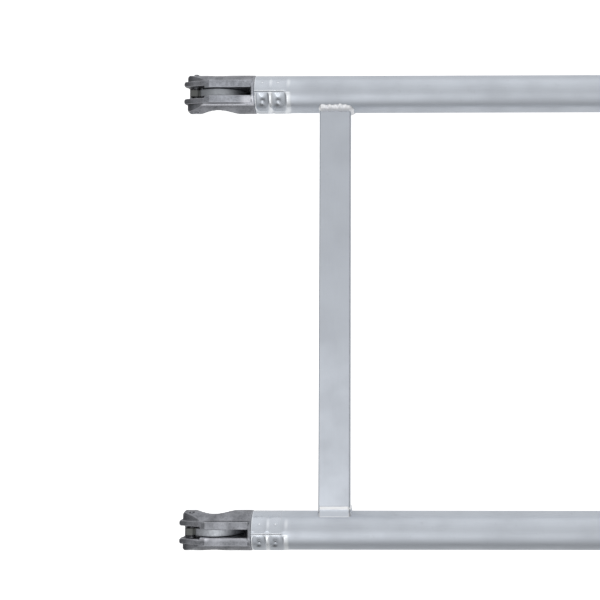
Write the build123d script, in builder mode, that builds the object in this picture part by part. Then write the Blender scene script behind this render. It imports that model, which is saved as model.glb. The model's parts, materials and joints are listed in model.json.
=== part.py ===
from build123d import *
import os
from math import atan, cos, degrees, pi, radians, sin, sqrt

# Horizontal brace of an access tower: two round rails joined by rectangular struts, with a cast
# hook and a sprung latch pawl pressed into each rail end. It lies flat on its hook tips.
# X runs along the rails, Y from rail to rail and Z up. The origin is on the floor, in the middle.
# Each hook is drawn in its own corner frame: x = 0 at the rail's end and negative out along the
# hook, y = 0 and z = 0 on the rail's axis. All sizes are millimetres and degrees.

# Layout of the frame
bay_length = 1800.0
rail_spacing = 500.0

# Rails
rail_diameter = 43.0
rail_wall = 2.0

# Struts and their welds
strut_width = 35.5
strut_depth = 20.0
strut_wall = 2.0
strut_corner_radius = 1.2
strut_setback = 74.8
weld_leg = 3.0
weld_run = 6.5
root_gap = 0.2
weld_gap = 0.05

# Tube that the hooks grip, and the jaw round it
gripped_diameter = 50.8
jaw_clearance = 0.35
jaw_roof_height = 8.85
jaw_floor = 3.0
jaw_floor_end_bearing = 8.0
jaw_lead_in = 4.0

# Hook casting
barrel_lip = 0.7
barrel_end_chamfer = 2.2
hook_wall = 10.8
collar_length = 3.0
ridge_width = 26.0
ridge_step = 1.3
slope_length = 27.5
shoulder_end_height = 5.8
ear_reach = 3.3
ear_height = 10.3
ear_depth = 8.5
ear_radius = 2.0
ear_nose_radius = 2.5
tip_width = 5.5
tip_radius = 2.0
edge_radius = 0.4
slot_width = 9.3
slot_end_radius = 1.5
recess_length = 11.2

# Spigot inside the rail, and the press marks that hold it
spigot_gap = 0.15
spigot_length = 46.0
spigot_lead = 2.0
spigot_bore = 24.0
spigot_bore_end = 4.0
dent_depth = 2.2
dent_punch_radius = 16.0
dent_start = 10.5
dent_pitch = 18.0
dent_columns = 2
dent_bearing = 31.0
seam_length = 38.0
seam_width = 1.4
seam_height = 0.5

# Latch pawl
pawl_width = 7.8
arm_thickness = 4.6
arm_sink = 4.05
pawl_seat_gap = 0.25
pawl_swing = 15.0
slot_end_clearance = 0.9
pin_bearing = 140.0
hub_radius = 5.2
hub_clearance = 0.4
tail_reach = 6.6
tail_radius = 1.2
nose_clearance = 0.6
nose_top_bearing = -16.0
nose_seat_bearing = -28.0
nose_tip_bearing = -42.0
arm_end_bearing = -38.0
tip_clearance = 2.4

# Pawl pin
pin_diameter = 6.0
pin_bore_gap = 0.05
pin_seat_gap = 0.02
pin_head_proud = 0.8
pin_foot_recess = 0.6
pin_end_chamfer = 0.7

# Pawl spring
wire_diameter = 0.8
coil_gap = 0.4
wire_sides = 6
coil_turns = 1.25
coil_pitch = 0.83
coil_side_gap = 0.3
recess_side_gap = 0.6
bridge_gap = 0.1
bridge_bend_radius = 1.2
leg_floor_gap = 1.0
leg_drop = 5.2

# Sizes that follow from those above
rail_radius = rail_diameter / 2
barrel_radius = rail_radius + barrel_lip
jaw_radius = gripped_diameter / 2 + jaw_clearance
jaw_z = jaw_roof_height - jaw_radius
floor_radius = jaw_radius + jaw_floor
arm_inner_radius = floor_radius + pawl_seat_gap
arm_outer_radius = arm_inner_radius + arm_thickness
nose_radius = gripped_diameter / 2 + nose_clearance
pin_distance = arm_inner_radius + hub_radius
pin_slant = 180 - pin_bearing
swing_shift = pin_distance * (cos(radians(pin_slant - pawl_swing)) - cos(radians(pin_slant)))
slot_room = arm_thickness + swing_shift + slot_end_clearance
heel_depth = jaw_floor + pawl_seat_gap + slot_room + collar_length
jaw_x = -(jaw_radius + heel_depth)
barrel_length = heel_depth + 2 * jaw_radius + hook_wall
step_x = slope_length - barrel_length
ear_x = -barrel_length - ear_reach
ridge_top = jaw_z + arm_outer_radius + arm_sink
tip_depth = tip_clearance - jaw_z - arm_outer_radius * sin(radians(arm_end_bearing))
pin_x = jaw_x + pin_distance * cos(radians(pin_bearing))
pin_z = jaw_z + pin_distance * sin(radians(pin_bearing))
pin_radius = pin_diameter / 2
wire_radius = wire_diameter / 2
coil_radius = pin_radius + coil_gap + wire_radius
coil_start = pawl_width / 2 + coil_side_gap + wire_radius
tail_under = coil_radius - wire_radius - bridge_gap
bridge_reach = tail_reach - wire_diameter
leg_length = coil_radius + leg_drop
recess_floor_z = pin_z - leg_length - leg_floor_gap
coil_slope = coil_pitch / (2 * pi * coil_radius)
spring_half = coil_start + coil_pitch * coil_turns + coil_slope * leg_length + wire_radius
recess_width = 2 * (spring_half + recess_side_gap)
ear_width = (ridge_width - recess_width) / 2
ear_y = (ridge_width + recess_width) / 4
rail_length = bay_length + 2 * jaw_x
rail_height = tip_depth
inner_radius = rail_radius - rail_wall
punch_distance = rail_radius + dent_punch_radius - dent_depth
pushed_radius = dent_punch_radius + rail_wall
spigot_radius = inner_radius - spigot_gap
waist_radius = punch_distance - pushed_radius - spigot_gap
waist_margin = sqrt((pushed_radius + spigot_gap) ** 2 - (punch_distance - spigot_radius) ** 2)
waist_length = (dent_columns - 1) * dent_pitch + 2 * waist_margin
past_side = 2 * barrel_radius
past_top = 2 * ridge_top
past_tip = tip_depth + jaw_lead_in

# Slot for the arm: down to the jaw's floor, and right through the heel below its end
floor_end_z = jaw_z + floor_radius * sin(radians(jaw_floor_end_bearing))
with BuildPart() as slot:
    with BuildSketch(Plane.XZ):
        with Locations((pin_x, floor_end_z)):
            Rectangle(-collar_length - pin_x, past_top - floor_end_z, align=(Align.MIN, Align.MIN))
        with Locations((jaw_x, jaw_z)):
            Circle(floor_radius, mode=Mode.SUBTRACT)
        with Locations((jaw_x, -past_tip)):
            Rectangle(-collar_length - jaw_x, floor_end_z + past_tip, align=(Align.MIN, Align.MIN))
    extrude(amount=slot_width / 2, both=True)
    fillet(slot.edges().filter_by(Axis.Z).group_by(Axis.X)[-1], slot_end_radius)

# Hook casting
with BuildPart() as hook:
    # Round barrel, as long as the part that stands out of the rail
    with BuildSketch(Plane.YZ.offset(-barrel_length)):
        Circle(barrel_radius)
    extrude(amount=barrel_length)
    chamfer(hook.edges().filter_by(GeomType.CIRCLE).sort_by(Axis.X)[0], barrel_end_chamfer)

    # Crown cut flat along the slot, and both shoulders cut to a slope towards the tip
    with BuildSketch(Plane.XZ):
        with BuildLine():
            Polyline(
                (-collar_length, ridge_top),
                (step_x, ridge_top),
                (-barrel_length, shoulder_end_height),
                (-barrel_length - past_side, shoulder_end_height),
                (-barrel_length - past_side, past_top),
                (-collar_length, past_top),
                close=True,
            )
        make_face()
    extrude(amount=past_side, both=True, mode=Mode.SUBTRACT)

    # Ridge with its ears, and both prongs: one side view, as wide as the ridge
    outline = [
        ((-collar_length, ridge_top), edge_radius),
        ((step_x, ridge_top), edge_radius),
        ((step_x - ridge_step, ridge_top - ridge_step), edge_radius),
        ((ear_x, ear_height), ear_radius),
        ((ear_x, ear_height - ear_depth / 2), ear_radius),
        ((-barrel_length, ear_height - ear_depth), edge_radius),
        ((-barrel_length, jaw_z), ear_radius),
        ((jaw_x - jaw_radius - tip_width, -tip_depth), tip_radius),
        ((-collar_length, -tip_depth), tip_radius),
        ((0, jaw_z), edge_radius),
        ((0, 0), edge_radius),
        ((-collar_length, 0), edge_radius),
    ]
    with BuildSketch(Plane.XZ):
        with BuildLine():
            FilletPolyline(
                [point for point, radius in outline],
                radius=[radius for point, radius in outline],
                close=True,
            )
        make_face()
    extrude(amount=ridge_width / 2, both=True)

    # Jaw: round roof, straight walls and a lead-in between the tips
    with BuildSketch(Plane.XZ):
        with Locations((jaw_x, jaw_z)):
            Circle(jaw_radius)
        with BuildLine():
            Polyline(
                (jaw_x - jaw_radius, jaw_z),
                (jaw_x - jaw_radius, jaw_lead_in - tip_depth),
                (jaw_x - jaw_radius - jaw_lead_in, -past_tip),
                (jaw_x + jaw_radius + jaw_lead_in, -past_tip),
                (jaw_x + jaw_radius, jaw_lead_in - tip_depth),
                (jaw_x + jaw_radius, jaw_z),
                close=True,
            )
        make_face()
    extrude(amount=past_side, both=True, mode=Mode.SUBTRACT)

    # Slot for the arm
    add(slot.part, mode=Mode.SUBTRACT)

    # Wider recess round the hub and its spring, open at the tip
    with BuildSketch(Plane.XZ):
        with Locations((pin_x, pin_z)):
            Rectangle(recess_length, past_top, align=(Align.MIN, Align.MIN))
        with Locations((jaw_x, jaw_z)):
            Circle(floor_radius, mode=Mode.SUBTRACT)
        with Locations((pin_x, pin_z)):
            Circle(hub_radius + hub_clearance)
        with Locations((pin_x, recess_floor_z)):
            Rectangle(past_side, past_top - recess_floor_z, align=(Align.MAX, Align.MIN))
    extrude(amount=recess_width / 2, both=True, mode=Mode.SUBTRACT)

    # Round nose on each ear, seen from above
    with BuildSketch():
        with Locations((ear_x, 0)):
            Rectangle(ear_nose_radius, past_side, align=(Align.MIN, Align.CENTER))
        with Locations((ear_x, ear_y), (ear_x, -ear_y)):
            RectangleRounded(
                4 * ear_nose_radius,
                ear_width,
                ear_nose_radius,
                align=(Align.MIN, Align.CENTER),
                mode=Mode.SUBTRACT,
            )
    extrude(amount=past_top, both=True, mode=Mode.SUBTRACT)

    # Bore for the pawl pin, through both cheeks
    with BuildSketch(Plane.XZ):
        with Locations((pin_x, pin_z)):
            Circle(pin_radius + pin_seat_gap)
    extrude(amount=past_side, both=True, mode=Mode.SUBTRACT)

    # Spigot, turned down to a waist that the press marks close into, and cored out
    with BuildSketch(Plane.XZ):
        Rectangle(spigot_length, spigot_radius, align=(Align.MIN, Align.MIN))
        Rectangle(collar_length, spigot_radius, align=(Align.MAX, Align.MIN))
        with Locations((spigot_bore_end, 0)):
            Rectangle(
                spigot_length, spigot_bore / 2, align=(Align.MIN, Align.MIN), mode=Mode.SUBTRACT
            )
        with Locations((dent_start - waist_margin, waist_radius)):
            Rectangle(
                waist_length, rail_radius, align=(Align.MIN, Align.MIN), mode=Mode.SUBTRACT
            )
        spigot_corner = vertices().filter_by_position(Axis.X, spigot_length, spigot_length)
        chamfer(spigot_corner.sort_by(Axis.Y)[-1], spigot_lead)
    revolve(axis=Axis.X)

# Latch pawl
with BuildPart() as pawl:
    with BuildSketch(Plane.XZ):
        # Curved arm over the jaw's back, ending in a nose that reaches in under the gripped tube
        with BuildLine():
            back = CenterArc(
                (jaw_x, jaw_z), arm_outer_radius, arm_end_bearing, pin_bearing - arm_end_bearing
            )
            belly = CenterArc(
                (jaw_x, jaw_z), arm_inner_radius, nose_top_bearing, pin_bearing - nose_top_bearing
            )
            seat = CenterArc(
                (jaw_x, jaw_z), nose_radius, nose_tip_bearing, nose_seat_bearing - nose_tip_bearing
            )
            Line(back @ 1, belly @ 1)
            Line(belly @ 0, seat @ 1)
            Line(seat @ 0, back @ 0)
        make_face()
        # Round hub with a square tail, which the spring pushes up
        with Locations((pin_x, pin_z)):
            Circle(hub_radius)
            with Locations((0, -tail_under)):
                Rectangle(tail_reach, tail_under + hub_radius, align=(Align.MAX, Align.MIN))
        fillet(vertices().group_by(Axis.X)[0], tail_radius)
        with Locations((pin_x, pin_z)):
            Circle(pin_radius + pin_bore_gap, mode=Mode.SUBTRACT)
    extrude(amount=pawl_width / 2, both=True)

# Pawl pin: a low head on one side, peened into its bore on the other
cheek_half = sqrt(barrel_radius**2 - pin_z**2)
with BuildPart() as pin:
    with BuildSketch(Plane.XZ.offset(-cheek_half - pin_head_proud)):
        with Locations((pin_x, pin_z)):
            Circle(pin_radius)
    extrude(amount=2 * cheek_half + pin_head_proud - pin_foot_recess)
    chamfer(pin.edges().filter_by(GeomType.CIRCLE), pin_end_chamfer)

# Half of the pawl spring, with its coil about Z: x points down from the pin and y along the arm
with BuildPart() as half_spring:
    with BuildLine() as wire:
        coil = Helix(
            pitch=coil_pitch,
            height=coil_pitch * coil_turns,
            radius=coil_radius,
            center=(0, 0, coil_start),
        )
        bridge_end = coil @ 0 - (coil % 0) * bridge_reach
        FilletPolyline(
            (bridge_end.X, bridge_end.Y, 0), bridge_end, coil @ 0, radius=bridge_bend_radius
        )
        Line(coil @ 1, coil @ 1 + (coil % 1) * leg_length)
    with BuildSketch(Plane((bridge_end.X, bridge_end.Y, 0), z_dir=(0, 0, 1))):
        RegularPolygon(wire_radius, wire_sides)
    sweep(path=wire.wires()[0])

# Pawl spring: both halves, joined by the bridge under the pawl's tail
spring_plane = Plane((pin_x, 0, pin_z), x_dir=(0, 0, -1), z_dir=(0, -1, 0))
with BuildPart() as spring:
    with Locations(spring_plane.location):
        add(half_spring.part)
    mirror(about=Plane.XZ)

# Rail: tube pressed onto both spigots, its wall following each press mark inwards
dent_bearings = (dent_bearing, 180 - dent_bearing, 180 + dent_bearing, -dent_bearing)
dent_places = [
    (
        end * (rail_length / 2 - dent_start - column * dent_pitch),
        punch_distance * sin(radians(bearing)),
        punch_distance * cos(radians(bearing)),
    )
    for end in (-1, 1)
    for column in range(dent_columns)
    for bearing in dent_bearings
]
with BuildPart() as rail_bore:
    with BuildSketch(Plane.YZ.offset(-rail_length / 2)):
        Circle(inner_radius)
    extrude(amount=rail_length)
    with Locations(dent_places):
        Sphere(pushed_radius, mode=Mode.SUBTRACT)

with BuildPart() as rail:
    with BuildSketch(Plane.YZ.offset(-rail_length / 2)):
        Circle(rail_radius)
    extrude(amount=rail_length)
    with Locations(dent_places):
        Sphere(dent_punch_radius, mode=Mode.SUBTRACT)
    # Seams squeezed out where the press jaws met, along the top and bottom
    with Locations((-rail_length / 2, 0, 0), (rail_length / 2 - seam_length, 0, 0)):
        Box(
            seam_length,
            seam_width,
            2 * (rail_radius + seam_height),
            align=(Align.MIN, Align.CENTER, Align.CENTER),
        )
    add(rail_bore.part, mode=Mode.SUBTRACT)

# Strut: rectangular tube across the frame, coped to both rails with a welder's root gap
with BuildPart() as strut:
    with BuildSketch(Plane.XZ):
        RectangleRounded(strut_width, strut_depth, strut_corner_radius)
        Rectangle(
            strut_width - 2 * strut_wall, strut_depth - 2 * strut_wall, mode=Mode.SUBTRACT
        )
    extrude(amount=rail_spacing / 2, both=True)
    with Locations((0, rail_spacing / 2, 0), (0, -rail_spacing / 2, 0)):
        Cylinder(
            rail_radius + root_gap, 2 * strut_width, rotation=(0, 90, 0), mode=Mode.SUBTRACT
        )

# Weld round the strut's upper end: a bead that narrows from the rail towards the strut
weld_base = rail_spacing / 2 - sqrt(rail_radius**2 - (strut_depth / 2 + weld_leg) ** 2)
weld_taper = degrees(atan(weld_leg / weld_run))
with BuildPart() as weld:
    with BuildSketch(Plane.XZ.offset(-weld_base)):
        RectangleRounded(
            strut_width + 2 * weld_leg, strut_depth + 2 * weld_leg, strut_corner_radius + weld_leg
        )
    extrude(amount=weld_run, taper=weld_taper)
    with BuildSketch(Plane.XZ.offset(-weld_base)):
        RectangleRounded(
            strut_width + 2 * weld_gap, strut_depth + 2 * weld_gap, strut_corner_radius + weld_gap
        )
    extrude(amount=weld_run, mode=Mode.SUBTRACT)
    with Locations((0, rail_spacing / 2, 0)):
        Cylinder(
            rail_radius + weld_gap, 2 * strut_width, rotation=(0, 90, 0), mode=Mode.SUBTRACT
        )

# Every piece in its place, each in a node of its own
os.makedirs("parts", exist_ok=True)
placed_pieces = []
for row, row_side in (("upper", 1), ("lower", -1)):
    rail_y = row_side * rail_spacing / 2
    placed_pieces.append((rail, f"rail_{row}", Location((0, rail_y, rail_height))))
    for end, end_side in (("left", -1), ("right", 1)):
        corner_turn = 0 if end_side < 0 else 180
        corner = Location((end_side * rail_length / 2, rail_y, rail_height), (0, 0, corner_turn))
        placed_pieces.append((hook, f"hook_{row}_{end}", corner))
        placed_pieces.append((pawl, f"pawl_{row}_{end}", corner))
        placed_pieces.append((pin, f"pawl_pin_{row}_{end}", corner))
        placed_pieces.append((spring, f"pawl_spring_{row}_{end}", corner))
        strut_x = end_side * (rail_length / 2 - strut_setback - strut_width / 2)
        weld_turn = 0 if row_side > 0 else 180
        weld_place = Location((strut_x, 0, rail_height), (0, 0, weld_turn))
        placed_pieces.append((weld, f"weld_{row}_{end}", weld_place))
        if row_side > 0:
            placed_pieces.append((strut, f"strut_{end}", Location((strut_x, 0, rail_height))))

for piece, node, place in placed_pieces:
    with BuildPart() as placed:
        with Locations(place):
            add(piece.part)
    placed.part.label = node
    export_step(placed.part, f"parts/{node}.step")
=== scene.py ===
"""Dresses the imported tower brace: drawn rails with press marks, weld beads, cast hooks and their
sprung pawls, each with its own finish, on a pale studio floor."""

import json

import bmesh
import bpy
import numpy as np
from bpy.props import FloatProperty, FloatVectorProperty, IntProperty, PointerProperty
from bpy.types import Operator, Panel, PropertyGroup
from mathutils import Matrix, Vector


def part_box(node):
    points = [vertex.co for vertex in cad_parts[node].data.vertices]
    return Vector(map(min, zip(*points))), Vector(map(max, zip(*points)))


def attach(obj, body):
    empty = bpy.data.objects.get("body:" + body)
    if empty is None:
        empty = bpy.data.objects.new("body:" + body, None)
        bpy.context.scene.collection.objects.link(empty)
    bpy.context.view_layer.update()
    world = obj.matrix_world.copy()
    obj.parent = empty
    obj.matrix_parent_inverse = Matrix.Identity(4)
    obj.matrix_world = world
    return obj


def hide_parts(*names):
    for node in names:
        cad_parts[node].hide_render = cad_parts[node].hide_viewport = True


bl_info = {
    "name": "Tower brace dressing",
    "version": (1, 0, 0),
    "blender": (4, 5, 0),
    "location": "View3D > Sidebar > Brace",
    "description": "Surfaces, finishes and studio for an access tower's horizontal brace",
    "category": "Object",
}

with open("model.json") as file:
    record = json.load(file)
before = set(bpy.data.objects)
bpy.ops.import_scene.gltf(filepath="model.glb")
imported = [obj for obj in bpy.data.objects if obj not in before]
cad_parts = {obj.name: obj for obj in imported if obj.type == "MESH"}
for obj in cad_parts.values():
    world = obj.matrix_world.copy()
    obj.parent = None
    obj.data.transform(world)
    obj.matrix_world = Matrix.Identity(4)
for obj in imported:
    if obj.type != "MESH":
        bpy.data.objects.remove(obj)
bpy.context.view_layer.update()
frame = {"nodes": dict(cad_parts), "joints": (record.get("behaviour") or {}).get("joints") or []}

MM = 0.001
ROWS = ("upper", "lower")
ENDS = ("left", "right")
CORNERS = [f"{row}_{end}" for row in ROWS for end in ENDS]
HALF_TURN = np.array([-1.0, -1.0, 1.0])


def node_box(node):
    """A node's lowest and highest corner as two arrays, in metres."""
    low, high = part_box(node)
    return np.array(low), np.array(high)


RAIL_LOW, RAIL_HIGH = node_box("rail_upper")
RAIL_MIDDLE = (RAIL_LOW + RAIL_HIGH) / 2
HOOK_REACH = node_box("hook_upper_right")[1][0]
PIN_REACH = abs(frame["joints"][0]["pos_m"][0])

# From a press mark's middle to its edge along the rail, the second column's extra reach towards
# the tube's middle, the width of the nose's dimple, and what stays clear beside the seam
MARK_HALF_LENGTH = 7.2 * MM
SECOND_MARK_EXTRA = 1.8 * MM
NOSE_WIDTH = 1.9 * MM
SEAM_CLEARANCE = 0.6 * MM

# A press mark's features, as shares of the way from its middle to its edge
POCKET_RIM = 1.06
POCKET_FALL = 0.86
LIP_CREST = 1.17
LIP_FLANK = 0.16
BROAD_LIP_FLANK = 0.4
# Where the painted highlight beside each pocket's lip peaks and how wide it is, as shares of the
# same way
HIGHLIGHT_CREST = 1.35
HIGHLIGHT_WIDTH = 0.24

# The faint marks' nose, which stands out, and their lips and painted highlight, as shares of the
# deep ones'
FAINT_NOSE = -0.6
FAINT_LIP = 0.15
FAINT_HIGHLIGHT = 0.4

# The seam's crease as a share of its ridge, and where along the rail the seam fades out
SEAM_CREASE = 1.2
SEAM_FADE = (28 * MM, 40 * MM)

# How far the tube's ends are rounded off
END_ROUNDING = 0.5 * MM

# How much of a lumpy bead's size its ripples, its slow wander and its lumps make up
BEAD_RIPPLE = 0.04
BEAD_WANDER = 0.30
BEAD_LUMPS = 0.07

# How much narrower a bead is on both edges of the strut, and the difference between the edges
EDGE_NARROWING = 0.55
EDGE_DIFFERENCE = 0.3


class BraceSizes(PropertyGroup):
    """Sizes of the surfaces that are worked out here."""

    rail_wall: FloatProperty(
        name="Rail wall", description="Wall of the rail tubes", default=2.0 * MM, unit="LENGTH"
    )
    mark_start: FloatProperty(
        name="First press mark",
        description="From the tube's end to the middle of the first column of press marks",
        default=9.6 * MM,
        unit="LENGTH",
    )
    mark_pitch: FloatProperty(
        name="Press mark pitch",
        description="Between the columns of press marks",
        default=18.0 * MM,
        unit="LENGTH",
    )
    mark_bearing: FloatProperty(
        name="Press mark bearing",
        description="Turn of each press mark from the tube's top or bottom line",
        default=np.radians(29.0),
        subtype="ANGLE",
    )
    mark_depth: FloatProperty(
        name="Press mark depth",
        description="Depth of the four-sided pocket that the press leaves",
        default=1.9 * MM,
        unit="LENGTH",
    )
    mark_nose: FloatProperty(
        name="Press nose depth",
        description="Depth of the small dimple in the middle of each pocket",
        default=0.9 * MM,
        unit="LENGTH",
    )
    mark_lip: FloatProperty(
        name="Press lip height",
        description="Height of the lip squeezed up round each pocket",
        default=0.6 * MM,
        unit="LENGTH",
    )
    mark_spread: FloatProperty(
        name="Press mark spread",
        description="From the middle of a pocket to its edge away from the seam",
        default=15.0 * MM,
        unit="LENGTH",
    )
    faint_share: FloatProperty(
        name="Faint marks",
        description="Depth of the marks on the tube's other side, as a share of the deep ones",
        default=0.45,
        min=0,
        max=1,
    )
    seam_height: FloatProperty(
        name="Seam height",
        description="Height of the ridge squeezed up where the press jaws met",
        default=0.55 * MM,
        unit="LENGTH",
    )
    bead_leg: FloatProperty(
        name="Bead leg on the rail",
        description="Reach of an upper weld bead out from the strut along the rail",
        default=5.4 * MM,
        unit="LENGTH",
    )
    bead_run: FloatProperty(
        name="Bead run on the strut",
        description="Reach of an upper weld bead from the rail along the strut",
        default=3.2 * MM,
        unit="LENGTH",
    )
    smooth_leg: FloatProperty(
        name="Smooth bead leg",
        description="Reach of a lower, smooth weld bead out from the strut along the rail",
        default=3.0 * MM,
        unit="LENGTH",
    )
    smooth_run: FloatProperty(
        name="Smooth bead run",
        description="Reach of a lower, smooth weld bead from the rail along the strut",
        default=9.6 * MM,
        unit="LENGTH",
    )
    smooth_toe: FloatProperty(
        name="Smooth bead toe",
        description="Height of the small ridge where a smooth bead ends on the strut",
        default=0.9 * MM,
        unit="LENGTH",
    )
    bead_ripples: IntProperty(
        name="Bead ripples", description="Ripples round one weld bead", default=46
    )
    cast_voxel: FloatProperty(
        name="Casting detail",
        description="Mesh size of the castings",
        default=0.6 * MM,
        unit="LENGTH",
    )
    pawl_voxel: FloatProperty(
        name="Pawl detail",
        description="Mesh size of the pawls",
        default=0.36 * MM,
        unit="LENGTH",
    )
    ledge_height: FloatProperty(
        name="Ledge height",
        description="Height above the rail's axis of the narrow ledge on each side of the ridge",
        default=17.0 * MM,
        unit="LENGTH",
    )
    ledge_start: FloatProperty(
        name="Ledge start",
        description="From the hook's middle plane to the foot of the ridge",
        default=13.3 * MM,
        unit="LENGTH",
    )
    cast_unevenness: FloatProperty(
        name="Casting unevenness",
        description="Height of the waves left in the cast skin",
        default=0.07 * MM,
        unit="LENGTH",
    )


def colour(name, description, value):
    """A colour that the user can change, as linear red, green and blue."""
    return FloatVectorProperty(
        name=name, description=description, default=value, size=3, min=0, max=1, subtype="COLOR"
    )


class BraceColours(PropertyGroup):
    """Colours of the finishes."""

    tube: colour("Tube", "Drawn aluminium", (0.63, 0.67, 0.73))
    tube_mark: colour("Tube marks", "Darker drawing lines and smudges", (0.53, 0.56, 0.61))
    # Tube ridges is a painted highlight on the press marks, Tube hollows is painted shade in them
    tube_highlight: colour("Tube ridges", "Painted highlight on the press marks' ridges and lips", (0.93, 0.96, 1.0))
    tube_shade: colour("Tube hollows", "Painted shade in the press marks' hollows", (0.13, 0.132, 0.14))
    strut: colour("Strut", "Drawn aluminium of the struts", (0.585, 0.622, 0.68))
    bead: colour("Weld bead", "Fresh aluminium weld", (0.96, 0.97, 1.0))
    bead_scale: colour("Weld scale", "Duller patches of the weld", (0.80, 0.82, 0.88))
    # Weld crests is a painted highlight on the tops of the ripples
    bead_crest_highlight: colour("Weld crests", "Bright tops of the weld's ripples", (0.97, 0.98, 1.0))
    cast: colour("Casting", "Tumbled cast skin", (0.39, 0.40, 0.435))
    # Casting pits serves the real dark grain and also painted shade in hollows and on the ears
    cast_grain_and_shade: colour("Casting pits", "Dark grain, and painted shade in hollows and on the ears", (0.055, 0.056, 0.062))
    # Casting top is painted light on the top ribs
    cast_top_light: colour("Casting top", "Skin rubbed bright along the top ribs", (0.60, 0.625, 0.69))
    cast_edge: colour("Casting edges", "Rubbed edges of the casting", (0.62, 0.63, 0.67))
    # Casting shine is a painted highlight where the lamp would reflect
    cast_highlight: colour("Casting shine", "Painted highlight on the -Y side", (0.83, 0.84, 0.90))
    pawl: colour("Pawl", "Dull plated plate", (0.45, 0.475, 0.505))
    # Brighter pawl is painted light on the lower rail's pawls
    pawl_lit: colour("Brighter pawl", "Plate of the lower rail's pawls", (0.62, 0.65, 0.69))
    # Pawl hub is greenish plating with painted shade for the recess
    pawl_hub_plating_and_shade: colour("Pawl hub", "Greenish plating with painted shade on the hub", (0.14, 0.145, 0.14))
    pin: colour("Pin", "Peened bar", (0.22, 0.225, 0.24))
    # Spring is dark wire painted near black, standing for the shade in the pawl's recess
    spring: colour("Spring", "Dark spring wire, painted near black for the recess's shade", (0.03, 0.03, 0.033))
    floor: colour("Floor", "Pale studio floor", (0.42, 0.42, 0.42))


# Surfaces


def volume_inside(points, quads):
    """Signed volume of a closed surface: the sum over its triangles of a . (b x c) / 6."""
    first = points[quads[:, 0]]
    total = 0.0
    for second, third in ((1, 2), (2, 3)):
        crossed = np.cross(points[quads[:, second]], points[quads[:, third]])
        total += np.einsum("ij,ij->i", first, crossed).sum() / 6
    return total


def mesh_object(name, points, quads, body, finish):
    """A mesh of quads whose faces point outwards, riding on a body."""
    if volume_inside(points, quads) < 0:
        quads = quads[:, ::-1]
    mesh = bpy.data.meshes.new(name)
    mesh.vertices.add(len(points))
    mesh.vertices.foreach_set("co", points.astype(np.float32).ravel())
    mesh.loops.add(quads.size)
    mesh.loops.foreach_set("vertex_index", quads.astype(np.int32).ravel())
    mesh.polygons.add(len(quads))
    mesh.polygons.foreach_set("loop_start", np.arange(0, quads.size, 4, dtype=np.int32))
    mesh.polygons.foreach_set("use_smooth", np.full(len(quads), True))
    mesh.update(calc_edges=True)
    mesh.validate()
    mesh.materials.append(finish)
    piece = bpy.data.objects.new(name, mesh)
    bpy.context.scene.collection.objects.link(piece)
    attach(piece, body)
    return piece


def closed_both_ways(rows, columns):
    """Quads of a grid whose last row joins its first, and whose last column joins its first."""
    index = np.arange(rows * columns).reshape(rows, columns)
    below = np.roll(index, -1, axis=0)
    return np.stack(
        [index, below, np.roll(below, -1, axis=1), np.roll(index, -1, axis=1)], axis=-1
    ).reshape(-1, 4)


def waves(points, size, seed):
    """Smooth unevenness from -1 to 1: the mean of nine sines of the place, whose directions and
    phases come from a seed, each about one size long."""
    sines = 9
    chance = np.random.default_rng(seed)
    directions = chance.normal(size=(sines, 3))
    directions /= np.linalg.norm(directions, axis=1, keepdims=True)
    lengths = size * chance.uniform(0.6, 1.7, sines)
    phases = chance.uniform(0, 2 * np.pi, sines)
    turns = points @ (directions / lengths[:, None]).T * 2 * np.pi + phases
    return np.sin(turns).mean(axis=1)


def smooth_step(low, high, value):
    """0 below low, 1 above high, and 3t^2 - 2t^3 between."""
    share = np.clip((value - low) / (high - low), 0, 1)
    return share * share * (3 - 2 * share)


def bell(value, middle, width):
    """A bell curve: 1 at the middle and 1/e one width away from it."""
    return np.exp(-(((value - middle) / width) ** 2))


def rail_stations(length, sizes):
    """Places along a rail: close together over both pressed ends and a little beyond their
    marks, far apart between them."""
    beyond_marks = 17 * MM
    pressed = sizes.mark_start + sizes.mark_pitch + beyond_marks
    spacing = 0.6 * MM
    rounded_end = np.array([0.0, 0.15, 0.4]) * MM
    end = np.concatenate([rounded_end, np.arange(1.0 * MM, pressed, spacing)])
    middle = np.linspace(pressed, length - pressed, 9)
    return np.concatenate([end, middle, (length - end)[::-1]])


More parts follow.
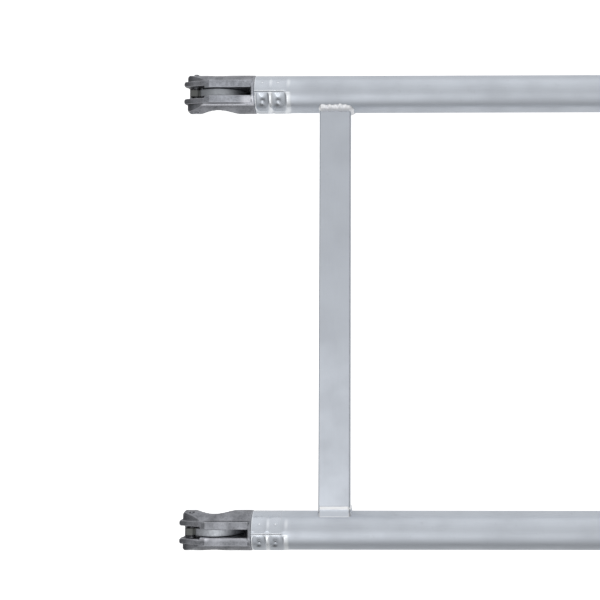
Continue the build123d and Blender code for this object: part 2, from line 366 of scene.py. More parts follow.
def rail_surface(along, bearing, radius, length, sizes):
    """Outer radius of a rail at a place along it and a bearing from its top line, and how much
    painted highlight and painted shade it carries there. The radius is the plain one, less a
    pocket and its nose at each press mark, plus a lip round each pocket, broadest towards the
    tube's middle, and the seams on the top and bottom lines. A pocket is a low four-sided pyramid
    turned inwards, which spreads further away from the seam: its depth falls evenly with the
    larger of the two distances from its middle, rounded by taking the fourth root of a sum of
    fourth powers. The faint marks have a small raised dot in place of the nose. A seam is a ridge
    with a crease on the deeply marked side. That side faces -Y at the left end and +Y at the right
    one, because the two ends are one tool's work, turned half round. A painted highlight lies on
    the lips towards the tube's middle, and painted shade lies low in the deep pockets: both are
    bell curves of the distance from there."""
    from_end = np.minimum(along, length - along)
    seam_angle = np.arcsin(np.abs(np.sin(bearing)))
    from_seam = radius * seam_angle
    towards_deep = np.where(along < length / 2, -1, 1) * np.sign(np.sin(bearing))
    deep = towards_deep > 0
    around = radius * (seam_angle - sizes.mark_bearing)
    seam_side = radius * sizes.mark_bearing - SEAM_CLEARANCE
    half_around = np.where(around < 0, seam_side, sizes.mark_spread)
    nose = sizes.mark_nose * np.where(deep, 1.0, FAINT_NOSE)
    depth = sizes.mark_depth * np.where(deep, 1.0, sizes.faint_share)
    sunk = np.zeros(np.broadcast(from_end, deep).shape)
    lips = np.zeros(sunk.shape)
    lip_highlight = np.zeros(sunk.shape)
    pocket_shade = np.zeros(sunk.shape)
    for column, longer in enumerate((0.0, SECOND_MARK_EXTRA)):
        across = from_end - sizes.mark_start - column * sizes.mark_pitch
        half_along = MARK_HALF_LENGTH + np.where(across > 0, longer, 0)
        reach = ((across / half_along) ** 4 + (around / half_around) ** 4) ** (1 / 4)
        pocket = depth * np.clip(POCKET_RIM - reach, 0, POCKET_FALL)
        dimple = nose * bell(np.hypot(across, around), 0, NOSE_WIDTH)
        sunk = np.maximum(sunk, pocket) + dimple
        broad = (reach > LIP_CREST) & (across > 0)
        flank = np.where(broad, BROAD_LIP_FLANK, LIP_FLANK)
        lips = np.maximum(lips, bell(reach, LIP_CREST, flank))
        # Painted highlight on the lip, towards the tube's middle
        inward = smooth_step(0.5, 1.0, across / half_along)
        lip_highlight = np.maximum(lip_highlight, inward * bell(reach, HIGHLIGHT_CREST, HIGHLIGHT_WIDTH))
        # Painted shade low in each deep pocket
        patch = bell(across, -1.0 * MM, 2.8 * MM) * bell(around, 6.5 * MM, 2.2 * MM)
        pocket_shade = np.maximum(pocket_shade, patch)
    lips = sizes.mark_lip * lips * np.where(deep, 1.0, FAINT_LIP)
    lips = lips * smooth_step(1.5 * MM, 4.0 * MM, from_seam) * smooth_step(0, 2 * MM, from_end)
    lip_highlight = lip_highlight * np.where(deep, 1.0, FAINT_HIGHLIGHT * bell(around, 0, 6.0 * MM))
    lip_highlight = lip_highlight * smooth_step(SEAM_CLEARANCE, SEAM_CLEARANCE + 1 * MM, from_seam)
    beside = from_seam * towards_deep
    ridge = bell(beside, -0.3 * MM, 0.6 * MM)
    crease = bell(beside, 0.65 * MM, 0.4 * MM)
    seam = sizes.seam_height * (ridge - SEAM_CREASE * crease)
    seam = seam * (1 - smooth_step(*SEAM_FADE, from_end))
    rounding = END_ROUNDING * (1 - smooth_step(0, END_ROUNDING, from_end))
    return radius - sunk + lips + seam - rounding, lip_highlight, pocket_shade * deep


def make_rail(row, sizes, finish):
    """A closed tube: the outer surface from the left end to the right one, then the inner one
    back, which has a third of the places. The inner radius is the outer one less the wall, so the
    marks show inside as well. The bearings t - 0.3 sin 2t lie close together at the seams. How
    much painted highlight and painted shade each point carries is stored in the mesh for the
    finish."""
    low, high = node_box(f"rail_{row}")
    radius = (high[1] - low[1]) / 2
    length = high[0] - low[0]
    points_round = 208
    even = np.linspace(0, 2 * np.pi, points_round, endpoint=False)[None, :]
    bearing = even - 0.3 * np.sin(2 * even)
    outer_places = rail_stations(length, sizes)
    inner_places = outer_places[::-3]
    places = np.concatenate([outer_places, inner_places])[:, None]
    radii, lip_highlight, pocket_shade = rail_surface(places, bearing, radius, length, sizes)
    radii[len(outer_places):] -= sizes.rail_wall
    middle = (low + high) / 2
    points = np.stack(
        [
            np.broadcast_to(places + low[0], radii.shape),
            middle[1] + radii * np.sin(bearing),
            middle[2] + radii * np.cos(bearing),
        ],
        axis=-1,
    )
    quads = closed_both_ways(*radii.shape)
    name = f"pressed_rail_{row}"
    rail = mesh_object(name, points.reshape(-1, 3), quads, "frame", finish)
    # The painted highlight and painted shade are stored for the finish
    for key, share in (("lip_highlight", lip_highlight), ("pocket_shade", pocket_shade)):
        layer = rail.data.attributes.new(key, "FLOAT", "POINT")
        layer.data.foreach_set("value", share.astype(np.float32).ravel())
    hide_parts(f"rail_{row}")


def rounded_loop(half_x, half_z, corner, count):
    """Points evenly spaced round a rectangle with round corners, and the outward direction at
    each: four quarter circles joined by straight sides, walked by length."""
    points_per_corner = 9
    turn = np.linspace(0, np.pi / 2, points_per_corner)
    arcs = []
    for quarter, (side_x, side_z) in enumerate(((1, 1), (-1, 1), (-1, -1), (1, -1))):
        angle = turn + quarter * np.pi / 2
        centre = np.array([side_x * (half_x - corner), side_z * (half_z - corner)])
        arcs.append(centre + corner * np.stack([np.cos(angle), np.sin(angle)], axis=1))
    line = np.concatenate(arcs + [arcs[0][:1]])
    walked = np.concatenate([[0], np.cumsum(np.linalg.norm(np.diff(line, axis=0), axis=1))])
    wanted = np.linspace(0, walked[-1], count, endpoint=False)
    loop = np.stack([np.interp(wanted, walked, line[:, axis]) for axis in (0, 1)], axis=1)
    tangent = np.roll(loop, -1, axis=0) - np.roll(loop, 1, axis=0)
    outward = np.stack([tangent[:, 1], -tangent[:, 0]], axis=1)
    return loop, outward / np.linalg.norm(outward, axis=1, keepdims=True)


def make_bead(row, end, sizes, finish):
    """A weld bead, as a section carried round the strut's end. The section is a bulging arc from
    its toe on the rail to its toe on the strut, closed at the root. Along the loop its size
    rises and falls with overlapping half-round ripples, and wanders a little. The bead is
    narrower on the strut's edges, most on the one that faces -X. Upper beads are lumpy and lie
    mostly on the rail, lower ones are smooth and lie mostly on the strut."""
    strut_low, strut_high = node_box(f"strut_{end}")
    rail_low, rail_high = node_box(f"rail_{row}")
    rail_middle = (rail_low + rail_high) / 2
    radius = (rail_high[1] - rail_low[1]) / 2
    side = 1 if row == "upper" else -1
    half = (strut_high - strut_low) / 2
    middle_x = (strut_low[0] + strut_high[0]) / 2
    points_per_ripple = 9
    count = sizes.bead_ripples * points_per_ripple
    strut_corner = 1.6 * MM
    loop, outward = rounded_loop(half[0], half[2], strut_corner, count)
    seed = 3 + CORNERS.index(f"{row}_{end}")

    section_points = 12
    turn = np.linspace(0, np.pi / 2, section_points)[None, :]
    lag = 0.9 * np.sin(2 * turn)
    step = np.arange(count)[:, None] / count
    loop_place = np.stack([loop[:, 0], loop[:, 1], np.zeros(count)], axis=1)
    drift = waves(loop_place, 16 * MM, seed)[:, None]
    phase = (step * sizes.bead_ripples + 2.2 * drift - lag) % 1.0
    half_round = np.sqrt(1 - (2 * phase - 1) ** 2) - 0.6
    ripple = half_round * (0.7 + waves(loop_place, 6 * MM, seed)[:, None])
    wander = waves(loop_place, 11 * MM, seed + 10)[:, None]
    lumps = waves(loop_place, 4 * MM, seed + 20)[:, None]
    if row == "upper":
        leg, run, toe, liveliness = sizes.bead_leg, sizes.bead_run, 0.0, 1.0
    else:
        leg, run, toe, liveliness = sizes.smooth_leg, sizes.smooth_run, sizes.smooth_toe, 0.08
    unevenness = BEAD_RIPPLE * ripple + BEAD_WANDER * wander + BEAD_LUMPS * lumps
    swell = 1 + liveliness * unevenness
    towards_x = outward[:, :1]
    width = 1 - EDGE_NARROWING * np.abs(towards_x) + EDGE_DIFFERENCE * towards_x
    bulge = 1 + liveliness * 0.06 * np.sin(3 * turn + 3 * lumps)
    reach = leg * width * swell * bulge * np.cos(turn) ** (1.6 - 0.6 * liveliness)
    toe_turn = 1.17
    toe_width = 0.19
    reach = reach + toe * bell(turn, toe_turn, toe_width)
    climb = run * width * (swell + 0.16 * liveliness * drift) * bulge
    climb = climb * np.sin(turn) ** (2.2 - 1.2 * liveliness)
    root = -0.4 * MM
    reach = np.concatenate([reach, np.full((count, 1), root)], axis=1)
    climb = np.concatenate([climb, np.full((count, 1), root)], axis=1)

    across = loop[:, :1] + towards_x * reach
    height = loop[:, 1:] + outward[:, 1:] * reach
    on_rail = np.sqrt(np.maximum(radius**2 - height**2, 0))
    points = np.stack(
        [
            middle_x + across,
            rail_middle[1] - side * (on_rail + climb),
            rail_middle[2] + height,
        ],
        axis=-1,
    )
    quads = closed_both_ways(*points.shape[:2])
    name = f"weld_bead_{row}_{end}"
    bead = mesh_object(name, points.reshape(-1, 3), quads, "frame", finish)
    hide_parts(f"weld_{row}_{end}")


def soft_skin(node, voxel, rounds):
    """A node's shape with worn edges, as points and quads: a merged copy is turned into an even
    grid of quads of one voxel size and then smoothed a few rounds."""
    mesh = frame["nodes"][node].data.copy()
    shape = bmesh.new()
    shape.from_mesh(mesh)
    bmesh.ops.remove_doubles(shape, verts=shape.verts, dist=0.001 * MM)
    shape.to_mesh(mesh)
    shape.free()
    draft = bpy.data.objects.new(f"{node}_draft", mesh)
    bpy.context.scene.collection.objects.link(draft)
    remesh = draft.modifiers.new("even_grid", "REMESH")
    remesh.mode = "VOXEL"
    remesh.voxel_size = voxel
    soften = draft.modifiers.new("worn_edges", "SMOOTH")
    soften.factor = 0.5
    soften.iterations = rounds
    graph = bpy.context.evaluated_depsgraph_get()
    skin = bpy.data.meshes.new_from_object(draft.evaluated_get(graph))
    points = np.zeros(len(skin.vertices) * 3, np.float32)
    skin.vertices.foreach_get("co", points)
    normals = np.zeros(len(skin.vertices) * 3, np.float32)
    skin.vertices.foreach_get("normal", normals)
    quads = np.zeros(len(skin.loops), np.int32)
    skin.loops.foreach_get("vertex_index", quads)
    if len(quads) != 4 * len(skin.polygons):
        raise RuntimeError(f"the skin of {node} isn't all quads")
    bpy.data.objects.remove(draft)
    bpy.data.meshes.remove(mesh)
    bpy.data.meshes.remove(skin)
    return (
        points.reshape(-1, 3).astype(float),
        normals.reshape(-1, 3).astype(float),
        quads.reshape(-1, 4),
    )


def cut_ledges(points, sizes):
    """Points of a hook with the crown beside its ridge pressed down to a flat, narrow ledge, which
    leaves a dark line at the ridge's foot and a clear edge beside it."""
    beside = np.abs(points[:, 1] - RAIL_MIDDLE[1]) > sizes.ledge_start
    ledge = RAIL_MIDDLE[2] + sizes.ledge_height
    lowered = points.copy()
    lowered[beside, 2] = np.minimum(points[beside, 2], ledge)
    return lowered


def at_corner(points, node, source, turned):
    """Points of the source node's shape moved to another corner: for the far end they are
    turned half round about Z, and then their middle goes to the node's middle."""
    spin = HALF_TURN if turned else np.ones(3)
    source_middle = spin * (sum(node_box(source)) / 2)
    return points * spin + (sum(node_box(node)) / 2 - source_middle)


# Finishes


class Pattern:
    """Nodes being added to one tree, with patterns on one kind of coordinates."""

    def __init__(self, tree, coordinates):
        self.tree = tree
        self.place = self.add("ShaderNodeTexCoord").outputs[coordinates]

    def add(self, kind, **settings):
        """A new node with its settings."""
        node = self.tree.nodes.new(kind)
        for key, value in settings.items():
            setattr(node, key, value)
        return node

    def link(self, source, target):
        """Joins an output to an input."""
        self.tree.links.new(source, target)

    def along(self, axis):
        """The place along one axis."""
        parts = self.add("ShaderNodeSeparateXYZ")
        self.link(self.place, parts.inputs["Vector"])
        return parts.outputs[axis]

    def outward(self):
        """How far the place is from the middle along X, on either side."""
        return self.math("ABSOLUTE", self.along("X"), 0.0)

    def stretched(self, scale):
        """The place multiplied along each axis, for a pattern that follows the metal."""
        mapping = self.add("ShaderNodeMapping")
        mapping.inputs["Scale"].default_value = scale
        self.link(self.place, mapping.inputs["Vector"])
        return mapping.outputs["Vector"]

    def noise(self, scale, detail=3.0, roughness=0.5, place=None):
        """Noise with features about 1 / scale metres wide."""
        node = self.add("ShaderNodeTexNoise")
        node.inputs["Scale"].default_value = scale
        node.inputs["Detail"].default_value = detail
        node.inputs["Roughness"].default_value = roughness
        self.link(place or self.place, node.inputs["Vector"])
        return node.outputs["Fac"]

    def spread(self, value, low, high, new_low=0.0, new_high=1.0):
        """The value, with the range from low to high moved to the new one."""
        node = self.add("ShaderNodeMapRange", clamp=True)
        self.link(value, node.inputs["Value"])
        for key, number in (
            ("From Min", low), ("From Max", high), ("To Min", new_low), ("To Max", new_high)
        ):
            node.inputs[key].default_value = number
        return node.outputs["Result"]

    def math(self, operation, first, second):
        """The result of one operation on two values, the second an output or a number."""
        node = self.add("ShaderNodeMath", operation=operation)
        self.link(first, node.inputs[0])
        if isinstance(second, (int, float)):
            node.inputs[1].default_value = second
        else:
            self.link(second, node.inputs[1])
        return node.outputs["Value"]

    def product(self, first, *others):
        """The product of several values."""
        for other in others:
            first = self.math("MULTIPLY", first, other)
        return first

    def band(self, value, start, full, ebb, end):
        """0 up to the start, 1 from full to ebb, and 0 again from the end on."""
        return self.product(self.spread(value, start, full), self.spread(value, end, ebb))

    def mix(self, share, first, second):
        """A colour between two, each a colour value or an output."""
        node = self.add("ShaderNodeMix", data_type="RGBA")
        self.link(share, node.inputs["Factor"])
        for key, value in (("A", first), ("B", second)):
            same_name = [socket for socket in node.inputs if socket.name == key]
            target = [socket for socket in same_name if socket.type == "RGBA"][0]
            if isinstance(value, bpy.types.NodeSocket):
                self.link(value, target)
            else:
                target.default_value = (*value, 1)
        return [socket for socket in node.outputs if socket.type == "RGBA"][0]


class Finish(Pattern):
    """A material being built on one Principled shader, with patterns on Object coordinates."""

    def __init__(self, name, colour_value, metallic, roughness):
        self.material = bpy.data.materials.new(name)
        self.material.use_nodes = True
        super().__init__(self.material.node_tree, "Object")
        self.shader = self.tree.nodes["Principled BSDF"]
        self.shader.inputs["Base Color"].default_value = (*colour_value, 1)
        self.shader.inputs["Metallic"].default_value = metallic
        self.shader.inputs["Roughness"].default_value = roughness

    def feed(self, socket, value):
        """Joins a value to one of the shader's inputs."""
        self.link(value, self.shader.inputs[socket])

    def sharpness(self):
        """How sharply the surface turns outwards: about 0.5 on flats, more on edges and less in
        hollows."""
        return self.add("ShaderNodeNewGeometry").outputs["Pointiness"]

    def stored(self, name):
        """A share that the piece's mesh stores under a name."""
        return self.add("ShaderNodeAttribute", attribute_name=name).outputs["Fac"]

    def bump(self, *layers):
        """Bump from layers of (height, strength, distance in metres), one on the next."""
        normal = None
        for height, strength, distance in layers:
            node = self.add("ShaderNodeBump")
            node.inputs["Strength"].default_value = strength
            node.inputs["Distance"].default_value = distance
            self.link(height, node.inputs["Height"])
            if normal is not None:
                self.link(normal, node.inputs["Normal"])
            normal = node.outputs["Normal"]
        self.feed("Normal", normal)


def drawn_tube(name, base, colours, along, pressed):
    """Satin drawn aluminium: fine lines along the tube, faint clouds of handling and a few
    darker scuffs. The pattern is stretched along the tube's axis. The ends of a pressed tube are
    smoother where the press held them. Their ridges and lips carry a painted highlight and their
    hollows painted shade, both by how sharply the surface turns and by what the mesh stores for
    each press mark."""
    finish = Finish(name, base, metallic=1.0, roughness=0.4)
    scale = [1.0, 1.0, 1.0]
    scale[along] = 0.012
    lines = finish.noise(2600, 2.0, 0.6, finish.stretched(scale))
    clouds = finish.noise(22, 3.0, 0.55)
    scuffs = finish.noise(140, 5.0, 0.7)
    tone = finish.math(
        "ADD",
        finish.spread(lines, 0.35, 0.75, 0.0, 0.35),
        finish.spread(clouds, 0.4, 0.75, 0.0, 0.45),
    )
    tone = finish.math("ADD", tone, finish.spread(scuffs, 0.60, 0.78, 0.0, 0.5))
    skin = finish.mix(tone, base, colours.tube_mark)
    roughness = finish.spread(clouds, 0.3, 0.7, 0.34, 0.46)
    if pressed:
        sharpness = finish.sharpness()
        # Painted highlight on sharp ridges and painted shade in the hollows of the press marks
        skin = finish.mix(finish.spread(sharpness, 0.508, 0.53), skin, colours.tube_highlight)
        skin = finish.mix(finish.spread(sharpness, 0.493, 0.462), skin, colours.tube_shade)
        # Painted highlight on the lips and painted shade in the deep pockets, as the mesh stores
        # them
        lip_highlight = finish.spread(finish.stored("lip_highlight"), 0.05, 0.7)
        skin = finish.mix(lip_highlight, skin, colours.tube_highlight)
        pocket_shade = finish.spread(finish.stored("pocket_shade"), 0.1, 0.9, 0.0, 0.8)
        skin = finish.mix(pocket_shade, skin, colours.tube_shade)
        rail_end = RAIL_HIGH[0]
        smoother = finish.spread(
            finish.outward(), rail_end - 30 * MM, rail_end - 50 * MM, 0.62, 1.0
        )
        roughness = finish.product(roughness, smoother)
    finish.feed("Base Color", skin)
    finish.feed("Roughness", roughness)
    finish.bump((lines, 0.12, 0.00003), (scuffs, 0.05, 0.0001))
    return finish.material


def weld_metal(name, base, scale, crest_highlight, metallic, relief):
    """Weld metal with slight dulling in patches and a painted highlight on its crests, but not on
    its sharp toes.
    Relief is the strength of its fine bumps."""
    finish = Finish(name, base, metallic, roughness=0.4)
    patches = finish.noise(260, 3.0)
    skin = finish.mix(finish.spread(patches, 0.45, 0.7), base, scale)
    sharpness = finish.sharpness()
    # Painted highlight on the crests, taken off again on the sharpest toes
    skin = finish.mix(finish.spread(sharpness, 0.503, 0.520), skin, crest_highlight)
    skin = finish.mix(finish.spread(sharpness, 0.555, 0.60), skin, base)
    finish.feed("Base Color", skin)
    finish.feed("Roughness", finish.spread(patches, 0.3, 0.7, 0.30, 0.44))
    finish.bump((patches, relief, 0.0002))
    return finish.material


def cast_skin(colours):
    """Tumbled cast aluminium: grey with fine dark grain and larger clouds. It has painted shade in
    its hollows and on the ears, and painted light along the top ribs, which lie highest above the
    floor, most on the upper rail's castings. It is bright on edges, where the surface turns
    sharply outwards. It has a painted highlight in three places, all on the -Y side: along the
    upper castings' ledge, on their rib beside the collar, and along the rim of the lower slots."""
    finish = Finish("cast_skin", colours.cast, metallic=0.9, roughness=0.42)
    grain = finish.noise(1300, 3.0, 0.65)
    pebbles = finish.noise(420, 4.0, 0.6)
    clouds = finish.noise(75, 3.0, 0.5)
    outward = finish.outward()
    side = finish.along("Y")
    height = finish.along("Z")
    ribs = RAIL_HIGH[2] - 4.0 * MM
    # Painted light on the top ribs, stronger on the upper rail's castings
    high = finish.spread(height, ribs - 1.5 * MM, ribs + 1.5 * MM)
    wear_and_light = finish.spread(side, -0.1, 0.1, 0.1, 1.0)
    skin = finish.mix(finish.product(high, wear_and_light), colours.cast, colours.cast_top_light)
    # Painted shade on the ears
    ears = finish.spread(outward, HOOK_REACH - 13.0 * MM, HOOK_REACH - 7.0 * MM, 0.0, 0.55)
    skin = finish.mix(ears, skin, colours.cast_grain_and_shade)
    sharpness = finish.sharpness()
    # Painted shade in hollows, added to the real dark grain
    hollow = finish.spread(sharpness, 0.485, 0.44, 0.0, 0.8)
    dark = finish.math(
        "ADD",
        finish.spread(grain, 0.45, 0.70, 0.0, 0.35),
        finish.spread(clouds, 0.38, 0.66, 0.0, 0.30),
    )
    dark = finish.math("ADD", dark, finish.spread(pebbles, 0.46, 0.62, 0.0, 0.2))
    skin = finish.mix(finish.math("ADD", dark, hollow), skin, colours.cast_grain_and_shade)
    edges = finish.product(
        finish.spread(sharpness, 0.510, 0.555), finish.spread(pebbles, 0.30, 0.55)
    )
    skin = finish.mix(edges, skin, colours.cast_edge)
    # Painted highlight in three bands on the -Y side, where the lamp's reflection falls
    upper, lower = RAIL_MIDDLE[1], -RAIL_MIDDLE[1]
    ledge = finish.band(
        side, upper - 16.6 * MM, upper - 15.4 * MM, upper - 14.6 * MM, upper - 13.8 * MM
    )
    rib = finish.band(
        side, upper - 16.6 * MM, upper - 13.0 * MM, upper - 7.0 * MM, upper - 4.5 * MM
    )
    collar = RAIL_HIGH[0]
    rib = finish.product(rib, finish.spread(outward, collar + 18 * MM, collar + 10 * MM))
    rim = finish.band(
        side, lower - 9.0 * MM, lower - 6.0 * MM, lower - 4.6 * MM, lower - 4.0 * MM
    )
    towards_ears = finish.spread(
        outward, HOOK_REACH - 37 * MM, HOOK_REACH - 32 * MM, 0.35, 1.0
    )
    rim = finish.product(rim, towards_ears)
    painted_highlight = finish.math("MAXIMUM", finish.math("MAXIMUM", ledge, rib), rim)
    upwards = finish.spread(height, ribs - 3.5 * MM, ribs - 2.0 * MM)
    painted_highlight = finish.product(painted_highlight, upwards, finish.spread(pebbles, 0.30, 0.55, 0.5, 1.0))
    finish.feed("Base Color", finish.mix(painted_highlight, skin, colours.cast_highlight))
    finish.feed("Roughness", finish.spread(clouds, 0.35, 0.65, 0.36, 0.50))
    finish.bump((pebbles, 0.55, 0.0004), (grain, 0.3, 0.00015))
    return finish.material


def pawl_plate(colours):
    """Plated steel plate: grey and rubbed along the arm, with painted light on the lower rail's
    pawls, and greenish with painted shade round the hub, which lies deep in the recess. The hub's
    tone follows the distance from the brace's middle along X."""
    finish = Finish("pawl_plate", colours.pawl, metallic=0.85, roughness=0.42)
    hub = finish.spread(finish.outward(), PIN_REACH - 6.0 * MM, PIN_REACH - 4.5 * MM)
    patches = finish.noise(330, 4.0, 0.6)
    # Painted light: the lower rail's pawls are coloured lighter
    row = finish.spread(finish.along("Y"), -0.1, 0.1)
    arm = finish.mix(row, colours.pawl_lit, colours.pawl)
    arm = finish.mix(finish.spread(patches, 0.4, 0.7, 0.0, 0.6), arm, colours.cast)
    # Greenish plating with painted shade on the hub
    finish.feed("Base Color", finish.mix(hub, arm, colours.pawl_hub_plating_and_shade))
    finish.feed("Roughness", finish.spread(patches, 0.3, 0.7, 0.36, 0.55))
    finish.bump((patches, 0.2, 0.0002), (finish.noise(1500, 2.0), 0.15, 0.00008))
    return finish.material


def bar_steel(name, base, wear_and_light, roughness):
    """Steel bar or wire: a base colour with worn patches and a fine grain."""
    finish = Finish(name, base, metallic=0.9, roughness=roughness)
    patches = finish.noise(500, 3.0, 0.6)
    finish.feed("Base Color", finish.mix(finish.spread(patches, 0.4, 0.7), base, wear_and_light))
    finish.bump((patches, 0.2, 0.0001))
    return finish.material


def floor_finish(colours):
    """Pale floor that shows white to the camera and about half as bright in metal, dimmer beyond
    the lower rail than elsewhere."""
    finish = Finish("studio_floor", colours.floor, metallic=0.0, roughness=0.9)
    path = finish.add("ShaderNodeLightPath")
    camera = path.outputs["Is Camera Ray"]
    seen = finish.math("MAXIMUM", camera, path.outputs["Is Glossy Ray"])
    seen = finish.math("MAXIMUM", seen, path.outputs["Is Transmission Ray"])
    dimming = finish.spread(finish.along("Y"), -0.42, -0.24, 0.22, 0.52)
    glow = finish.math("MAXIMUM", finish.product(seen, dimming), camera)
    finish.shader.inputs["Emission Color"].default_value = (1, 1, 1, 1)
    finish.shader.inputs["Specular IOR Level"].default_value = 0.0
    finish.feed("Emission Strength", glow)
    return finish.material


# Studio


def soft_box(name, place, aim, size_x, size_y, power):
    """A rectangular lamp that faces a point and isn't seen by the camera."""
    lamp = bpy.data.lights.new(name, "AREA")
    lamp.shape = "RECTANGLE"
    lamp.size = size_x
    lamp.size_y = size_y
    lamp.energy = power
    box = bpy.data.objects.new(name, lamp)
    bpy.context.scene.collection.objects.link(box)
    facing = np.array(aim) - np.array(place)
    box.location = place
    box.rotation_euler = Vector(facing).to_track_quat("-Z", "Y").to_euler()
    box.visible_camera = False


def studio_world():
    """Pale surroundings, white to the camera. They form one wide band of light from -Y over the
    top to +Y, darkest low down on the -Y side, and are dim towards both ends of the brace."""
    world = bpy.data.worlds.new("studio")
    bpy.context.scene.world = world
    world.use_nodes = True
    sky = Pattern(world.node_tree, "Generated")
    band = sky.add("ShaderNodeValToRGB")
    sky.link(sky.spread(sky.along("Y"), -1.0, 1.0), band.inputs["Fac"])
    stops = band.color_ramp.elements
    stops[0].color = (0.33, 0.33, 0.33, 1)
    stops[1].color = (1, 1, 1, 1)
    for place, level in (
        (0.015, 0.33), (0.07, 0.60), (0.29, 0.93), (0.39, 0.90), (0.5, 0.74), (0.8, 0.88)
    ):
        stops.new(place).color = (level, level, level, 1)
    ends = sky.spread(sky.outward(), 0.35, 0.80, 1.0, 0.30)
    light = sky.product(band.outputs["Color"], ends)
    path = sky.add("ShaderNodeLightPath")
    light = sky.math("MAXIMUM", light, path.outputs["Is Camera Ray"])
    background = world.node_tree.nodes["Background"]
    background.inputs["Color"].default_value = (1, 1, 1, 1)
    sky.link(light, background.inputs["Strength"])


# Operators


def setup(context):
    """The sizes and colours that the sidebar shows."""
    return context.scene.brace_sizes, context.scene.brace_colours


def dress(nodes, finish):
    """Gives nodes that keep their own shape a finish."""
    for node in nodes:
        mesh = frame["nodes"][node].data
        mesh.materials.clear()
        mesh.materials.append(finish)


class BRACE_OT_rails(Operator):
    """Make both rails, with their press marks and seams"""

    bl_idname = "brace.rails"
    bl_label = "Rails"

    def execute(self, context):
        sizes, colours = setup(context)
        finish = drawn_tube("drawn_rail", colours.tube, colours, along=0, pressed=True)
        for row in ROWS:
            make_rail(row, sizes, finish)
        return {"FINISHED"}


class BRACE_OT_struts(Operator):
    """Give the struts their drawn finish"""

    bl_idname = "brace.struts"
    bl_label = "Struts"

    def execute(self, context):
        colours = setup(context)[1]
        finish = drawn_tube("drawn_strut", colours.strut, colours, along=1, pressed=False)
        dress([f"strut_{end}" for end in ENDS], finish)
        return {"FINISHED"}


class BRACE_OT_beads(Operator):
    """Make the rippled weld beads round the struts' ends"""

    bl_idname = "brace.beads"
    bl_label = "Weld beads"

    def execute(self, context):
        sizes, colours = setup(context)
        # The crest colour is a painted highlight
        crest_highlight = colours.bead_crest_highlight
        lumpy = weld_metal(
            "lumpy_weld", colours.bead, colours.bead_scale, crest_highlight, metallic=0.8, relief=0.15
        )
        smooth = weld_metal(
            "smooth_weld", colours.tube, colours.tube, crest_highlight, metallic=1.0, relief=0.02
        )
        for row, finish in zip(ROWS, (lumpy, smooth)):
            for end in ENDS:
                make_bead(row, end, sizes, finish)
        return {"FINISHED"}


class BRACE_OT_hooks(Operator):
    """Make the cast hooks with worn edges and an uneven cast skin"""

    bl_idname = "brace.hooks"
    bl_label = "Cast hooks"

    def execute(self, context):
        sizes, colours = setup(context)
        finish = cast_skin(colours)
        source = "hook_upper_left"
        points, normals, quads = soft_skin(source, sizes.cast_voxel, rounds=3)
        points = cut_ledges(points, sizes)
        for seed, corner in enumerate(CORNERS):
            turned = corner.endswith("right")
            node = f"hook_{corner}"
            spin = HALF_TURN if turned else np.ones(3)
            rise = sizes.cast_unevenness * waves(points, 7 * MM, seed)[:, None]
            placed = at_corner(points, node, source, turned) + rise * normals * spin
            name = f"cast_hook_{corner}"
            hook = mesh_object(name, placed, quads, "frame", finish)
            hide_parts(node)
        return {"FINISHED"}


class BRACE_OT_pawls(Operator):
    """Make the latch pawls with softened plate edges"""

    bl_idname = "brace.pawls"
    bl_label = "Latch pawls"

    def execute(self, context):
        sizes, colours = setup(context)
        finish = pawl_plate(colours)
        source = "pawl_upper_left"
        points, normals, quads = soft_skin(source, sizes.pawl_voxel, rounds=4)
        for corner in CORNERS:
            node = f"pawl_{corner}"
            placed = at_corner(points, node, source, corner.endswith("right"))
            name = f"latch_pawl_{corner}"
            pawl = mesh_object(name, placed, quads, node, finish)
            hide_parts(node)
        return {"FINISHED"}


class BRACE_OT_pins_and_springs(Operator):
    """Give the pawl pins and springs their steel finishes"""

    bl_idname = "brace.pins_and_springs"
    bl_label = "Pins and springs"

    def execute(self, context):
        colours = setup(context)[1]
        pin = bar_steel("peened_pin", colours.pin, colours.cast, roughness=0.45)
        dress([f"pawl_pin_{corner}" for corner in CORNERS], pin)
        # The spring's near-black colour is painted shade
        wire = bar_steel("spring_wire", colours.spring, colours.pin, roughness=0.35)
        dress([f"pawl_spring_{corner}" for corner in CORNERS], wire)
        return {"FINISHED"}


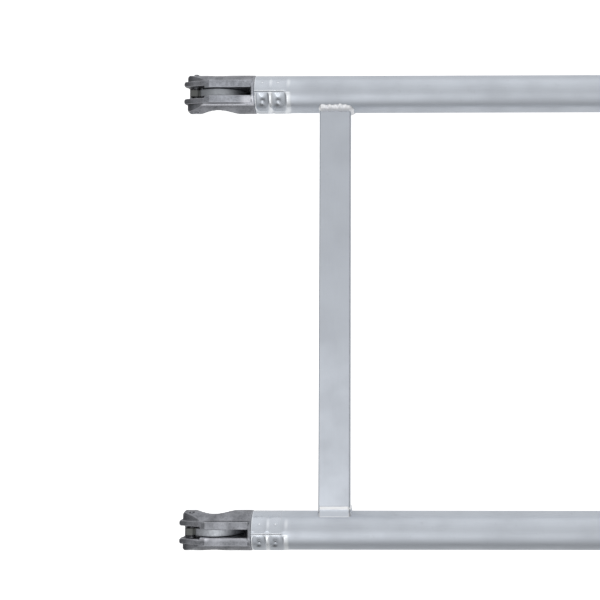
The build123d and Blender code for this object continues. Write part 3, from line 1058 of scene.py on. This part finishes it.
class BRACE_OT_stage(Operator):
    """Set up the floor, the lamp, the surroundings and the camera"""

    bl_idname = "brace.stage"
    bl_label = "Studio"

    def execute(self, context):
        colours = setup(context)[1]
        reach = 12.0
        corners = [(-reach, -reach, 0), (reach, -reach, 0), (reach, reach, 0), (-reach, reach, 0)]
        mesh = bpy.data.meshes.new("studio_floor")
        mesh.from_pydata(corners, [], [(0, 1, 2, 3)])
        mesh.materials.append(floor_finish(colours))
        floor = bpy.data.objects.new("studio_floor", mesh)
        context.scene.collection.objects.link(floor)

        studio_world()
        soft_box(
            "near_box",
            place=(-0.95, -0.6, 0.98),
            aim=(-0.85, 0.0, 0.0),
            size_x=0.16,
            size_y=1.0,
            power=0.65,
        )

        camera_data = bpy.data.cameras.new("photo_camera")
        camera_data.sensor_width = 36.0
        camera_data.lens = 59.40
        camera_data.shift_x = -0.1592
        camera_data.shift_y = -0.0771
        camera_data.clip_start = 0.01
        camera = bpy.data.objects.new("photo_camera", camera_data)
        # The camera looks almost straight down on the left end, 1.14 m above the rails' axes
        camera.location = (RAIL_LOW[0] + 0.17333, -0.00372, RAIL_MIDDLE[2] + 1.13971)
        camera.rotation_mode = "ZXY"
        camera.rotation_euler = np.radians((3.408, 0.5635, -0.0558))
        context.scene.collection.objects.link(camera)
        context.scene.camera = camera
        context.scene.view_settings.view_transform = "Standard"
        return {"FINISHED"}


STEPS = (
    BRACE_OT_rails,
    BRACE_OT_struts,
    BRACE_OT_beads,
    BRACE_OT_hooks,
    BRACE_OT_pawls,
    BRACE_OT_pins_and_springs,
    BRACE_OT_stage,
)


class BRACE_PT_sidebar(Panel):
    """Lists the pieces, their sizes and their colours"""

    bl_idname = "BRACE_PT_sidebar"
    bl_label = "Tower brace"
    bl_space_type = "VIEW_3D"
    bl_region_type = "UI"
    bl_category = "Brace"

    def draw(self, context):
        for step in STEPS:
            self.layout.operator(step.bl_idname)
        for group in setup(context):
            box = self.layout.box()
            for key in group.__annotations__:
                box.prop(group, key)


CLASSES = (BraceSizes, BraceColours, *STEPS, BRACE_PT_sidebar)


def register():
    for kind in CLASSES:
        bpy.utils.register_class(kind)
    bpy.types.Scene.brace_sizes = PointerProperty(type=BraceSizes)
    bpy.types.Scene.brace_colours = PointerProperty(type=BraceColours)


def unregister():
    del bpy.types.Scene.brace_colours
    del bpy.types.Scene.brace_sizes
    for kind in reversed(CLASSES):
        bpy.utils.unregister_class(kind)


def main():
    register()
    bpy.ops.brace.rails()
    bpy.ops.brace.struts()
    bpy.ops.brace.beads()
    bpy.ops.brace.hooks()
    bpy.ops.brace.pawls()
    bpy.ops.brace.pins_and_springs()
    bpy.ops.brace.stage()


if __name__ == "__main__":
    main()
